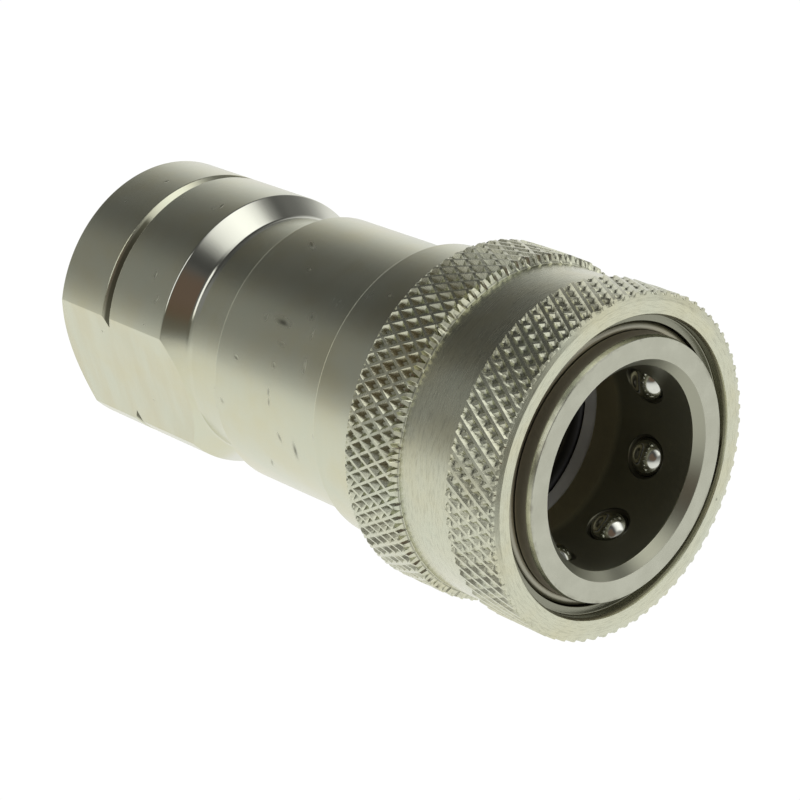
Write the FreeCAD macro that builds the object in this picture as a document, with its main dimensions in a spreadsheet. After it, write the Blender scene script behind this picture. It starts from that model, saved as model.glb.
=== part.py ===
import FreeCAD, Part
import os, math
import Sketcher

# Female half of a poppet-type hydraulic quick coupler, 3/8 size.
# Frame: Z is the coupler axis, the rear (port) face lies on Z = 0 and the
# mouth of the socket looks along +Z.  Lengths in millimetres.

os.makedirs("parts", exist_ok=True)
doc = FreeCAD.newDocument("quick_coupler")

# ---------------------------------------------------------------- dimensions
DIMS = [
    # rear adapter, outside
    ("ad_r", 14.10, "rear cylinder radius"),
    ("ad_edge_r", 12.52, "rear face outer edge radius"),
    ("ad_edge_z", 1.42, "rear bevel height"),
    ("vee_z0", 8.25, "vee groove, rear lip"),
    ("vee_z1", 8.90, "vee groove, root"),
    ("vee_z2", 9.45, "vee groove, front lip"),
    ("vee_r", 13.55, "vee groove root radius"),
    ("cone_z0", 17.68, "neck cone, large end"),
    ("cone_z1", 19.95, "neck cone, small end"),
    ("neck_r", 12.30, "neck radius"),
    ("band_r", 13.71, "body radius"),
    ("seam_r", 13.54, "body rear edge radius"),
    ("seam_z", 25.80, "seam between adapter and body"),
    ("seam_zf", 25.97, "body rear edge chamfer"),
    ("flat_half", 12.556, "half of the distance across the wrench flats"),
    ("flat_len", 20.20, "length of the wrench flats"),
    ("flat_turn", 177.95, "direction of the wrench flats about the axis"),
    ("flat_far", 18.00, "outer reach of the flat cut"),
    # rear adapter, spigot and passage
    ("spig_r", 10.95, "spigot radius"),
    ("spig_z", 32.30, "spigot front face"),
    ("spig_edge_r", 10.45, "spigot front edge radius"),
    ("spig_edge_z", 31.80, "spigot edge chamfer"),
    ("adseal_z0", 26.50, "joint seal groove, rear wall"),
    ("adseal_z1", 28.90, "joint seal groove, front wall"),
    ("adseal_r", 9.50, "joint seal groove floor"),
    ("port_r", 7.475, "port thread minor radius"),
    ("port_edge_r", 8.60, "port mouth chamfer radius"),
    ("port_edge_z", 1.125, "port mouth chamfer depth"),
    ("port_z", 15.30, "port thread depth"),
    ("duct_r", 5.50, "passage radius"),
    ("duct_z0", 16.50, "passage, rear end"),
    ("duct_z1", 21.30, "passage, front end"),
    ("stemroom_r", 8.00, "room behind the valve guide"),
    ("stemroom_z", 23.30, "rear end of that room"),
    # body, outside
    ("seat_step_z", 41.40, "step up to the sleeve guide"),
    ("guide_r", 14.72, "sleeve guide radius"),
    ("guide_edge_r", 14.55, "sleeve guide rear edge radius"),
    ("guide_edge_z", 41.57, "sleeve guide rear edge chamfer"),
    ("guide_z", 48.80, "spring shoulder"),
    ("nose_r", 12.60, "nose radius"),
    ("rgroove_z0", 64.30, "retaining ring groove, rear wall"),
    ("rgroove_z1", 65.71, "retaining ring groove, front wall"),
    ("rgroove_r", 12.10, "retaining ring groove floor"),
    ("nose_edge_z", 67.36, "nose edge chamfer"),
    ("nose_edge_r", 12.44, "nose face outer radius"),
    ("nose_z", 67.60, "nose face"),
    ("mouth_r", 10.44, "mouth chamfer outer radius"),
    ("mouth_z", 66.75, "mouth chamfer depth"),
    # body, inside
    ("sock_r", 9.65, "socket radius at the balls"),
    ("sock_z", 58.00, "lead-in to the seal land, front end"),
    ("land_r", 9.575, "seal land radius"),
    ("land_z1", 57.25, "seal land, front end"),
    ("gland_r", 11.15, "gland floor radius"),
    ("gland_z1", 54.70, "gland, front wall"),
    ("gland_z0", 50.90, "gland, rear wall"),
    ("floor_z", 49.80, "socket floor"),
    ("throat_r", 6.60, "valve throat radius"),
    ("seat_z1", 47.90, "valve seat cone, small end"),
    ("seat_z0", 44.90, "valve seat cone, large end"),
    ("cham_r", 9.60, "valve chamber radius"),
    ("cham_z", 34.30, "guide shoulder"),
    ("thr_r", 11.00, "rear joint bore radius"),
    ("thr_edge_r", 11.40, "rear joint bore edge radius"),
    ("thr_edge_z", 26.20, "rear joint bore edge chamfer"),
    # locking balls and their holes
    ("ball_n", 8, "locking balls"),
    ("ball_r", 1.9845, "ball radius"),
    ("ball_pos", 10.60, "ball centre radius when locked"),
    ("ball_z", 61.55, "ball row height"),
    ("ball_phase", 7.00, "angle of the first ball"),
    ("bh_r", 2.08, "ball hole radius"),
    ("bh_lip_r", 1.90, "ball hole lip radius"),
    ("bh_edge_r", 2.15, "ball hole edge at the socket"),
    ("bh_in", 9.00, "start of the ball hole cut"),
    ("bh_edge_in", 9.66, "edge chamfer start"),
    ("bh_edge_x", 9.85, "edge chamfer end"),
    ("bh_lip_x", 9.90, "lip end"),
    ("bh_cone_x", 10.25, "ball rest cone end"),
    ("bh_out", 13.40, "end of the ball hole cut"),
    # sleeve
    ("sl_z0", 47.85, "sleeve rear face"),
    ("sl_back_r", 16.30, "rear face outer radius"),
    ("sl_k1_z0", 48.32, "rear knurl, rear edge"),
    ("sl_k1_r", 16.80, "rear knurl radius"),
    ("sl_k1_z1", 54.35, "rear knurl, front edge"),
    ("sl_mid_r", 16.00, "plain band radius"),
    ("sl_mid_z0", 54.65, "plain band, rear edge"),
    ("sl_mid_z1", 60.75, "plain band, front edge"),
    ("sl_k2_z0", 61.10, "front knurl, rear edge"),
    ("sl_k2_r", 16.50, "front knurl radius"),
    ("sl_k2_z1", 66.40, "front knurl, front edge"),
    ("sl_rim_r", 16.14, "front rim edge radius"),
    ("sl_rim_z", 66.54, "front rim edge height"),
    ("sl_face_r", 15.55, "front face outer radius"),
    ("sl_z1", 66.87, "sleeve front face"),
    ("sl_lip_r", 14.40, "front face inner radius"),
    ("sl_lip_z", 66.50, "inner chamfer depth"),
    ("sl_cb_r", 14.20, "counterbore radius"),
    ("sl_cb_z", 65.70, "counterbore floor"),
    ("sl_seat_r", 13.55, "ring seat radius"),
    ("sl_seat_z", 64.80, "ring seat cone, large end"),
    ("sl_rel_r", 13.20, "release bore radius"),
    ("sl_rel_z1", 64.45, "ring seat cone, small end"),
    ("sl_rel_z0", 62.85, "release bore, rear end"),
    ("sl_land_r", 12.80, "locking land radius"),
    ("sl_land_z1", 62.25, "locking land, front end"),
    ("sl_land_z0", 59.70, "spring seat in the sleeve"),
    ("sl_bore_r", 14.90, "spring bore radius"),
    ("sl_bore_z", 48.15, "spring bore mouth chamfer"),
    ("sl_bore_edge", 15.20, "spring bore mouth radius"),
    # retaining ring
    ("rr_r", 12.78, "ring centre radius"),
    ("rr_wire", 0.65, "ring wire radius"),
    ("rr_z", 65.006, "ring height"),
    ("rr_angle", 342.0, "ring wrap angle"),
    ("rr_turn", -25.5, "angle of one ring end"),
    # springs
    ("ss_r", 13.72, "sleeve spring mean radius"),
    ("ss_wire", 0.60, "sleeve spring wire radius"),
    ("ss_z0", 48.85, "sleeve spring, rear end"),
    ("ss_z1", 59.65, "sleeve spring, front end"),
    ("ss_turns", 2.50, "sleeve spring free turns"),
    ("ps_r", 5.60, "valve spring mean radius"),
    ("ps_wire", 0.50, "valve spring wire radius"),
    ("ps_z0", 34.35, "valve spring, rear end"),
    ("ps_z1", 44.25, "valve spring, front end"),
    ("ps_turns", 2.75, "valve spring free turns"),
    # poppet
    ("pp_tip_z", 51.90, "poppet tip"),
    ("pp_tip_r", 2.70, "poppet tip flat radius"),
    ("pp_nose_r", 3.40, "poppet nose radius"),
    ("pp_nose_z1", 51.20, "poppet nose edge"),
    ("pp_nose_z0", 48.90, "poppet nose foot"),
    ("pp_c1_r", 6.30, "poppet cone, small radius"),
    ("pp_c1_z", 47.99, "poppet cone, small end"),
    ("pp_g1_r", 6.95, "seal groove corner 1 radius"),
    ("pp_g1_z", 47.34, "seal groove corner 1 height"),
    ("pp_g2_r", 6.229, "seal groove corner 2 radius"),
    ("pp_g2_z", 46.619, "seal groove corner 2 height"),
    ("pp_g3_r", 7.129, "seal groove corner 3 radius"),
    ("pp_g3_z", 45.719, "seal groove corner 3 height"),
    ("pp_g4_r", 7.85, "seal groove corner 4 radius"),
    ("pp_g4_z", 46.44, "seal groove corner 4 height"),
    ("pp_c2_r", 8.20, "poppet head radius"),
    ("pp_c2_z", 46.09, "poppet cone, large end"),
    ("pp_back_z", 44.30, "poppet head back face"),
    ("pp_boss_r", 4.40, "spring boss radius"),
    ("pp_boss_z", 43.10, "spring boss end"),
    ("pp_stem_r", 2.50, "stem radius"),
    ("pp_stem_z", 30.90, "stem end chamfer"),
    ("pp_end_r", 2.00, "stem end radius"),
    ("pp_end_z", 30.40, "stem end"),
    ("pseal_r", 7.082, "poppet seal centre radius"),
    ("pseal_z", 46.572, "poppet seal height"),
    ("pseal_wire", 0.54, "poppet seal cord radius"),
    # valve guide
    ("vg_z0", 32.35, "guide rear face"),
    ("vg_len", 1.90, "guide thickness"),
    ("vg_r", 10.90, "guide rim radius"),
    ("vg_bore", 2.60, "guide bore radius"),
    ("vg_hub_r", 4.60, "guide hub radius"),
    ("vg_hub_z0", 30.90, "guide hub rear face"),
    ("vg_hub_len", 1.50, "guide hub length behind the rim"),
    ("vg_win_in", 6.40, "guide window inner radius"),
    ("vg_win_out", 8.20, "guide window outer radius"),
    ("vg_arm", 1.40, "half width of a guide arm"),
    # seals
    ("or_r", 10.24, "socket seal centre radius"),
    ("or_wire", 0.89, "socket seal cord radius"),
    ("or_z", 52.02, "socket seal height"),
    ("bu_ri", 9.74, "back-up ring inner radius"),
    ("bu_ro", 11.08, "back-up ring outer radius"),
    ("bu_z0", 53.05, "back-up ring rear face"),
    ("bu_len", 1.55, "back-up ring width"),
    ("aor_r", 10.25, "joint seal centre radius"),
    ("aor_wire", 0.73, "joint seal cord radius"),
    ("aor_z", 27.70, "joint seal height"),
]
sheet = doc.addObject("Spreadsheet::Sheet", "Dims")
for row, (alias, value, note) in enumerate(DIMS, start=1):
    sheet.set("A%d" % row, note)
    sheet.set("B%d" % row, repr(float(value)) if alias != "ball_n" else str(value))
    sheet.setAlias("B%d" % row, alias)
doc.recompute()


def D(alias):
    return float(sheet.get(alias))


nodes = {}


def plane(body, role):
    for f in body.Origin.OriginFeatures:
        if f.Role == role:
            return f
    raise RuntimeError(role)


def new_body(label):
    body = doc.addObject("PartDesign::Body", label)
    body.Label = label
    nodes[label] = body
    return body


def new_sketch(body, name, role, offset=None):
    sk = body.newObject("Sketcher::SketchObject", name)
    sk.AttachmentSupport = [(plane(body, role), "")]
    sk.MapMode = "FlatFace"
    if offset is not None:
        sk.AttachmentOffset = offset
    return sk


def outline(sk, pts, first=0):
    """Closed outline of straight edges.  Every corner is a pair of sheet
    aliases; 0 means the corner lies on that sketch axis."""
    num = [(0.0 if a == 0 else D(a), 0.0 if b == 0 else D(b)) for a, b in pts]
    V = FreeCAD.Vector
    n = len(num)
    for i in range(n):
        a, b = num[i], num[(i + 1) % n]
        sk.addGeometry(Part.LineSegment(V(a[0], a[1], 0), V(b[0], b[1], 0)), False)
    for i in range(n):
        sk.addConstraint(Sketcher.Constraint("Coincident", first + i, 2, first + (i + 1) % n, 1))
    for i, (a, b) in enumerate(pts):
        g = first + i
        if a == 0:
            sk.addConstraint(Sketcher.Constraint("PointOnObject", g, 1, -2))
        else:
            c = sk.addConstraint(Sketcher.Constraint("DistanceX", -1, 1, g, 1, D(a)))
            sk.setExpression("Constraints[%d]" % c, "Dims." + a)
        if b == 0:
            sk.addConstraint(Sketcher.Constraint("PointOnObject", g, 1, -1))
        else:
            c = sk.addConstraint(Sketcher.Constraint("DistanceY", -1, 1, g, 1, D(b)))
            sk.setExpression("Constraints[%d]" % c, "Dims." + b)


def circle(sk, r_alias, x_alias=None, y_alias=None, index=0):
    V = FreeCAD.Vector
    x = D(x_alias) if x_alias else 0.0
    y = D(y_alias) if y_alias else 0.0
    g = sk.addGeometry(Part.Circle(V(x, y, 0), V(0, 0, 1), D(r_alias)), False)
    c = sk.addConstraint(Sketcher.Constraint("Radius", g, D(r_alias)))
    sk.setExpression("Constraints[%d]" % c, "Dims." + r_alias)
    if x_alias:
        c = sk.addConstraint(Sketcher.Constraint("DistanceX", -1, 1, g, 3, x))
        sk.setExpression("Constraints[%d]" % c, "Dims." + x_alias)
    if y_alias:
        c = sk.addConstraint(Sketcher.Constraint("DistanceY", -1, 1, g, 3, y))
        sk.setExpression("Constraints[%d]" % c, "Dims." + y_alias)
    if not x_alias and not y_alias:
        sk.addConstraint(Sketcher.Constraint("Coincident", g, 3, -1, 1))
    return g


def turned(body, name, pts):
    """A piece turned about the coupler axis from its half section."""
    sk = new_sketch(body, name + "_section", "XZ_Plane")
    outline(sk, pts)
    rev = body.newObject("PartDesign::Revolution", name + "_turned")
    rev.Profile = sk
    rev.ReferenceAxis = (sk, ["V_Axis"])
    rev.Angle = 360.0
    doc.recompute()
    return rev


def cut_check(body, before, what):
    doc.recompute()
    after = body.Shape.Volume
    if not after < before - 0.01:
        raise RuntimeError("cut removed nothing: " + what)
    return after


# -------------------------------------------------------------- rear adapter
adapter = new_body("rear_adapter")
turned(adapter, "adapter", [
    ("ad_edge_r", 0), ("ad_r", "ad_edge_z"), ("ad_r", "vee_z0"), ("vee_r", "vee_z1"),
    ("ad_r", "vee_z2"), ("ad_r", "cone_z0"), ("neck_r", "cone_z1"), ("neck_r", "seam_z"),
    ("spig_r", "seam_z"), ("spig_r", "adseal_z0"), ("adseal_r", "adseal_z0"),
    ("adseal_r", "adseal_z1"), ("spig_r", "adseal_z1"), ("spig_r", "spig_edge_z"),
    ("spig_edge_r", "spig_z"), ("stemroom_r", "spig_z"), ("stemroom_r", "stemroom_z"),
    ("duct_r", "duct_z1"), ("duct_r", "duct_z0"), ("port_r", "port_z"),
    ("port_r", "port_edge_z"), ("port_edge_r", 0)])
v0 = adapter.Shape.Volume
# two opposite wrench flats, milled from the rear bevel up into the neck cone
flat_off = FreeCAD.Placement(FreeCAD.Vector(0, 0, 0),
                             FreeCAD.Rotation(FreeCAD.Vector(0, 0, 1), D("flat_turn")))
flats = new_sketch(adapter, "flat_cut", "XY_Plane", flat_off)
flats.setExpression("AttachmentOffset.Rotation.Angle", "Dims.flat_turn")
for k, side in enumerate((1, -1)):
    V = FreeCAD.Vector
    xi, xo, yo = side * D("flat_half"), side * D("flat_far"), D("flat_far")
    q = [(xi, -yo), (xo, -yo), (xo, yo), (xi, yo)]
    base = 4 * k
    for i in range(4):
        a, b = q[i], q[(i + 1) % 4]
        flats.addGeometry(Part.LineSegment(V(a[0], a[1], 0), V(b[0], b[1], 0)), False)
    for i in range(4):
        flats.addConstraint(Sketcher.Constraint("Coincident", base + i, 2, base + (i + 1) % 4, 1))
    for i in (0, 2):
        flats.addConstraint(Sketcher.Constraint("Horizontal", base + i))
    for i in (1, 3):
        flats.addConstraint(Sketcher.Constraint("Vertical", base + i))
    for pt, dist, alias in ((0, "DistanceX", "flat_half"), (1, "DistanceX", "flat_far")):
        if side > 0:
            c = flats.addConstraint(Sketcher.Constraint(dist, -1, 1, base + pt, 1, D(alias)))
        else:
            c = flats.addConstraint(Sketcher.Constraint(dist, base + pt, 1, -1, 1, D(alias)))
        flats.setExpression("Constraints[%d]" % c, "Dims." + alias)
    c = flats.addConstraint(Sketcher.Constraint("DistanceY", base, 1, -1, 1, D("flat_far")))
    flats.setExpression("Constraints[%d]" % c, "Dims.flat_far")
    c = flats.addConstraint(Sketcher.Constraint("DistanceY", -1, 1, base + 2, 1, D("flat_far")))
    flats.setExpression("Constraints[%d]" % c, "Dims.flat_far")
mill = adapter.newObject("PartDesign::Pocket", "wrench_flats")
mill.Profile = flats
mill.setExpression("Length", "Dims.flat_len")
mill.Reversed = True
cut_check(adapter, v0, "wrench flats")

# ---------------------------------------------------------------- front body
front = new_body("front_body")
turned(front, "body", [
    ("seam_r", "seam_z"), ("band_r", "seam_zf"), ("band_r", "seat_step_z"),
    ("guide_edge_r", "seat_step_z"), ("guide_r", "guide_edge_z"), ("guide_r", "guide_z"),
    ("nose_r", "guide_z"), ("nose_r", "rgroove_z0"), ("rgroove_r", "rgroove_z0"),
    ("rgroove_r", "rgroove_z1"), ("nose_r", "rgroove_z1"), ("nose_r", "nose_edge_z"),
    ("nose_edge_r", "nose_z"), ("mouth_r", "nose_z"), ("sock_r", "mouth_z"),
    ("sock_r", "sock_z"), ("land_r", "land_z1"), ("land_r", "gland_z1"),
    ("gland_r", "gland_z1"), ("gland_r", "gland_z0"), ("land_r", "gland_z0"),
    ("land_r", "floor_z"), ("throat_r", "floor_z"), ("throat_r", "seat_z1"),
    ("cham_r", "seat_z0"), ("cham_r", "cham_z"), ("thr_r", "cham_z"),
    ("thr_r", "thr_edge_z"), ("thr_edge_r", "seam_z")])
v0 = front.Shape.Volume
# radial ball holes: each has a lip at the socket side that keeps the ball in
hole_off = FreeCAD.Placement(FreeCAD.Vector(0, 0, 0),
                             FreeCAD.Rotation(FreeCAD.Vector(0, 1, 0), D("ball_phase")))
hole = new_sketch(front, "ball_hole_section", "XZ_Plane", hole_off)
hole.setExpression("AttachmentOffset.Rotation.Angle", "Dims.ball_phase")
V = FreeCAD.Vector
zc = D("ball_z")
hp = [("bh_in", None), ("bh_in", "bh_edge_r"), ("bh_edge_in", "bh_edge_r"), ("bh_edge_x", "bh_lip_r"),
      ("bh_lip_x", "bh_lip_r"), ("bh_cone_x", "bh_r"), ("bh_out", "bh_r"), ("bh_out", None)]
hq = [(D(a), zc + (D(b) if b else 0.0)) for a, b in hp]
axis_line = hole.addGeometry(Part.LineSegment(V(hq[0][0], zc, 0), V(hq[-1][0], zc, 0)), False)
for i in range(len(hq) - 1):
    a, b = hq[i], hq[i + 1]
    hole.addGeometry(Part.LineSegment(V(a[0], a[1], 0), V(b[0], b[1], 0)), False)
hole.addConstraint(Sketcher.Constraint("Coincident", 0, 1, 1, 1))
for i in range(1, len(hq) - 1):
    hole.addConstraint(Sketcher.Constraint("Coincident", i, 2, i + 1, 1))
hole.addConstraint(Sketcher.Constraint("Coincident", len(hq) - 1, 2, 0, 2))
hole.addConstraint(Sketcher.Constraint("Horizontal", 0))
c = hole.addConstraint(Sketcher.Constraint("DistanceY", -1, 1, 0, 1, zc))
hole.setExpression("Constraints[%d]" % c, "Dims.ball_z")
for i, (a, b) in enumerate(hp[:-1]):
    c = hole.addConstraint(Sketcher.Constraint("DistanceX", -1, 1, 1 + i, 1, D(a)))
    hole.setExpression("Constraints[%d]" % c, "Dims." + a)
    if b:
        c = hole.addConstraint(Sketcher.Constraint("DistanceY", 0, 1, 1 + i, 1, D(b)))
        hole.setExpression("Constraints[%d]" % c, "Dims." + b)
c = hole.addConstraint(Sketcher.Constraint("DistanceX", -1, 1, 0, 2, D("bh_out")))
hole.setExpression("Constraints[%d]" % c, "Dims.bh_out")
centre = hole.addGeometry(Part.LineSegment(V(0, zc, 0), V(D("bh_out") + 2.0, zc, 0)), True)
hole.addConstraint(Sketcher.Constraint("PointOnObject", centre, 1, -2))
hole.addConstraint(Sketcher.Constraint("Horizontal", centre))
hole.addConstraint(Sketcher.Constraint("PointOnObject", 0, 1, centre))
drill = front.newObject("PartDesign::Groove", "ball_hole")
drill.Profile = hole
drill.ReferenceAxis = (hole, ["Axis0"])
drill.Angle = 360.0
v1 = cut_check(front, v0, "ball hole")
ring_of_holes = front.newObject("PartDesign::PolarPattern", "ball_holes")
ring_of_holes.Originals = [drill]
ring_of_holes.Axis = (plane(front, "Z_Axis"), [""])
ring_of_holes.Angle = 360.0
ring_of_holes.setExpression("Occurrences", "Dims.ball_n")
front.Tip = ring_of_holes
doc.recompute()
if not abs((v0 - front.Shape.Volume) / (v0 - v1) - D("ball_n")) < 0.1:
    raise RuntimeError("ball holes are not all cut")

# -------------------------------------------------------------------- sleeve
sleeve = new_body("locking_sleeve")
turned(sleeve, "sleeve", [
    ("sl_bore_edge", "sl_z0"), ("sl_back_r", "sl_z0"), ("sl_k1_r", "sl_k1_z0"),
    ("sl_k1_r", "sl_k1_z1"), ("sl_mid_r", "sl_mid_z0"), ("sl_mid_r", "sl_mid_z1"),
    ("sl_k2_r", "sl_k2_z0"), ("sl_k2_r", "sl_k2_z1"), ("sl_rim_r", "sl_rim_z"), ("sl_face_r", "sl_z1"),
    ("sl_lip_r", "sl_z1"), ("sl_cb_r", "sl_lip_z"), ("sl_cb_r", "sl_cb_z"),
    ("sl_seat_r", "sl_cb_z"), ("sl_seat_r", "sl_seat_z"), ("sl_rel_r", "sl_rel_z1"),
    ("sl_rel_r", "sl_rel_z0"), ("sl_land_r", "sl_land_z1"), ("sl_land_r", "sl_land_z0"),
    ("sl_bore_r", "sl_land_z0"), ("sl_bore_r", "sl_bore_z")])

# ------------------------------------------------------------ retaining ring
ring = new_body("retaining_ring")
ring_off = FreeCAD.Placement(FreeCAD.Vector(0, 0, 0),
                             FreeCAD.Rotation(FreeCAD.Vector(0, 1, 0), D("rr_turn")))
rs = new_sketch(ring, "ring_wire", "XZ_Plane", ring_off)
rs.setExpression("AttachmentOffset.Rotation.Angle", "Dims.rr_turn")
circle(rs, "rr_wire", "rr_r", "rr_z")
rrev = ring.newObject("PartDesign::Revolution", "ring_bent")
rrev.Profile = rs
rrev.ReferenceAxis = (rs, ["V_Axis"])
rrev.setExpression("Angle", "Dims.rr_angle")
doc.recompute()

# -------------------------------------------------------------------- poppet
poppet = new_body("poppet")
turned(poppet, "poppet", [
    (0, "pp_tip_z"), ("pp_tip_r", "pp_tip_z"), ("pp_nose_r", "pp_nose_z1"),
    ("pp_nose_r", "pp_nose_z0"), ("pp_c1_r", "pp_c1_z"), ("pp_g1_r", "pp_g1_z"),
    ("pp_g2_r", "pp_g2_z"), ("pp_g3_r", "pp_g3_z"), ("pp_g4_r", "pp_g4_z"),
    ("pp_c2_r", "pp_c2_z"), ("pp_c2_r", "pp_back_z"), ("pp_boss_r", "pp_back_z"),
    ("pp_boss_r", "pp_boss_z"), ("pp_stem_r", "pp_boss_z"), ("pp_stem_r", "pp_stem_z"),
    ("pp_end_r", "pp_end_z"), (0, "pp_end_z")])

# --------------------------------------------------------------- valve guide
guide = new_body("poppet_guide")
gs = new_sketch(guide, "guide_disc", "XY_Plane",
                FreeCAD.Placement(FreeCAD.Vector(0, 0, D("vg_z0")), FreeCAD.Rotation()))
gs.setExpression("AttachmentOffset.Base.z", "Dims.vg_z0")
circle(gs, "vg_r")
circle(gs, "vg_bore")
gpad = guide.newObject("PartDesign::Pad", "guide_rim")
gpad.Profile = gs
gpad.setExpression("Length", "Dims.vg_len")
doc.recompute()
hs = new_sketch(guide, "guide_hub", "XY_Plane",
                FreeCAD.Placement(FreeCAD.Vector(0, 0, D("vg_hub_z0")), FreeCAD.Rotation()))
hs.setExpression("AttachmentOffset.Base.z", "Dims.vg_hub_z0")
circle(hs, "vg_hub_r")
circle(hs, "vg_bore")
hpad = guide.newObject("PartDesign::Pad", "guide_hub_pad")
hpad.Profile = hs
hpad.setExpression("Length", "Dims.vg_hub_len")
doc.recompute()
v0 = guide.Shape.Volume
# flow windows: three annular slots between the arms
ws = new_sketch(guide, "window", "XY_Plane",
                FreeCAD.Placement(FreeCAD.Vector(0, 0, D("vg_hub_z0")), FreeCAD.Rotation()))
ws.setExpression("AttachmentOffset.Base.z", "Dims.vg_hub_z0")
ri, ro, arm = D("vg_win_in"), D("vg_win_out"), D("vg_arm")
half = math.radians(60.0)
ai = half - math.asin(arm / ri)
ao = half - math.asin(arm / ro)
P = lambda r, a: V(r * math.cos(a), r * math.sin(a), 0)
ws.addGeometry(Part.ArcOfCircle(Part.Circle(V(0, 0, 0), V(0, 0, 1), ro), -ao, ao), False)
ws.addGeometry(Part.LineSegment(P(ro, ao), P(ri, ai)), False)
ws.addGeometry(Part.ArcOfCircle(Part.Circle(V(0, 0, 0), V(0, 0, 1), ri), -ai, ai), False)
ws.addGeometry(Part.LineSegment(P(ri, -ai), P(ro, -ao)), False)
ws.addConstraint(Sketcher.Constraint("Coincident", 0, 3, -1, 1))
ws.addConstraint(Sketcher.Constraint("Coincident", 2, 3, -1, 1))
ws.addConstraint(Sketcher.Constraint("Coincident", 0, 2, 1, 1))
ws.addConstraint(Sketcher.Constraint("Coincident", 1, 2, 2, 2))
ws.addConstraint(Sketcher.Constraint("Coincident", 2, 1, 3, 1))
ws.addConstraint(Sketcher.Constraint("Coincident", 3, 2, 0, 1))
c = ws.addConstraint(Sketcher.Constraint("Radius", 0, ro))
ws.setExpression("Constraints[%d]" % c, "Dims.vg_win_out")
c = ws.addConstraint(Sketcher.Constraint("Radius", 2, ri))
ws.setExpression("Constraints[%d]" % c, "Dims.vg_win_in")
win = guide.newObject("PartDesign::Pocket", "guide_window")
win.Profile = ws
win.setExpression("Length", "Dims.vg_hub_len + Dims.vg_len + 1")
win.Reversed = True
v1 = cut_check(guide, v0, "guide window")
wins = guide.newObject("PartDesign::PolarPattern", "guide_windows")
wins.Originals = [win]
wins.Axis = (plane(guide, "Z_Axis"), [""])
wins.Angle = 360.0
wins.Occurrences = 3
guide.Tip = wins
doc.recompute()
if not abs((v0 - guide.Shape.Volume) / (v0 - v1) - 3) < 0.1:
    raise RuntimeError("guide windows are not all cut")

# ---------------------------------------------------------------- back-up ring
backup = new_body("backup_ring")
bs = new_sketch(backup, "backup_section", "XY_Plane",
                FreeCAD.Placement(FreeCAD.Vector(0, 0, D("bu_z0")), FreeCAD.Rotation()))
bs.setExpression("AttachmentOffset.Base.z", "Dims.bu_z0")
circle(bs, "bu_ro")
circle(bs, "bu_ri")
bpad = backup.newObject("PartDesign::Pad", "backup_pad")
bpad.Profile = bs
bpad.setExpression("Length", "Dims.bu_len")
doc.recompute()


# ------------------------------------------------------------- round seals
def o_ring(label, r, wire, z):
    t = doc.addObject("Part::Torus", label)
    t.Label = label
    t.setExpression("Radius1", "Dims." + r)
    t.setExpression("Radius2", "Dims." + wire)
    t.setExpression("Placement.Base.z", "Dims." + z)
    nodes[label] = t
    return t


o_ring("socket_seal", "or_r", "or_wire", "or_z")
o_ring("poppet_seal", "pseal_r", "pseal_wire", "pseal_z")
o_ring("joint_seal", "aor_r", "aor_wire", "aor_z")

# ------------------------------------------------------------- locking balls
for k in range(int(D("ball_n"))):
    label = "locking_ball_%d" % (k + 1)
    b = doc.addObject("Part::Sphere", label)
    b.Label = label
    b.setExpression("Radius", "Dims.ball_r")
    turn = "(Dims.ball_phase + %d * 360 / Dims.ball_n) * 1deg" % k
    b.setExpression("Placement.Base.x", "Dims.ball_pos * cos(%s)" % turn)
    b.setExpression("Placement.Base.y", "Dims.ball_pos * sin(%s)" % turn)
    b.setExpression("Placement.Base.z", "Dims.ball_z")
    nodes[label] = b


# ------------------------------------------------------------------- springs
def coil(label, r, wire, z0, z1, turns):
    """Compression spring: one closed turn at each end, open turns between,
    both ends ground flat."""
    R, w = D(r), D(wire)
    za, zb, free = D(z0), D(z1), D(turns)
    total = free + 2.0
    lead = 2.0 * w * 1.02                       # rise of a closed turn
    climb = (zb - za) - 2.0 * lead              # rise of the open turns
    per = 24
    pts = []
    n = int(round(total * per))
    for i in range(n + 1):
        u = i * total / n

        def rise(q):
            # slope eases from the closed pitch to the open pitch and back
            lo, hi = lead, climb / free
            s = min(max((q - 0.75) / 0.5, 0.0), 1.0)
            e = min(max((total - q - 0.75) / 0.5, 0.0), 1.0)
            m = min(s, e)
            m = m * m * (3 - 2 * m)
            return lo + (hi - lo) * m
        if i == 0:
            height = 0.0
        else:
            um = (i - 0.5) * total / n
            height += rise(um) * total / n
        pts.append((2 * math.pi * u, height))
    scale = (zb - za) / pts[-1][1]
    line = [V(R * math.cos(a), R * math.sin(a), za + hgt * scale) for a, hgt in pts]
    curve = Part.BSplineCurve()
    curve.interpolate(line)
    path = Part.Wire([curve.toShape()])
    t0 = curve.tangent(curve.FirstParameter)[0]
    section = Part.Wire([Part.Circle(line[0], t0, w).toShape()])
    solid = path.makePipeShell([section], True, True)
    for low, high in ((za - 4 * w, za), (zb, zb + 4 * w)):
        solid = solid.cut(Part.makeBox(4 * R, 4 * R, high - low, V(-2 * R, -2 * R, low)))
    solid = solid.Solids[0] if len(solid.Solids) == 1 else max(solid.Solids, key=lambda q: q.Volume)
    f = doc.addObject("Part::Feature", label)
    f.Label = label
    f.Shape = solid
    f.Placement = FreeCAD.Placement()
    nodes[label] = f
    return f


coil("sleeve_spring", "ss_r", "ss_wire", "ss_z0", "ss_z1", "ss_turns")
coil("poppet_spring", "ps_r", "ps_wire", "ps_z0", "ps_z1", "ps_turns")

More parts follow.
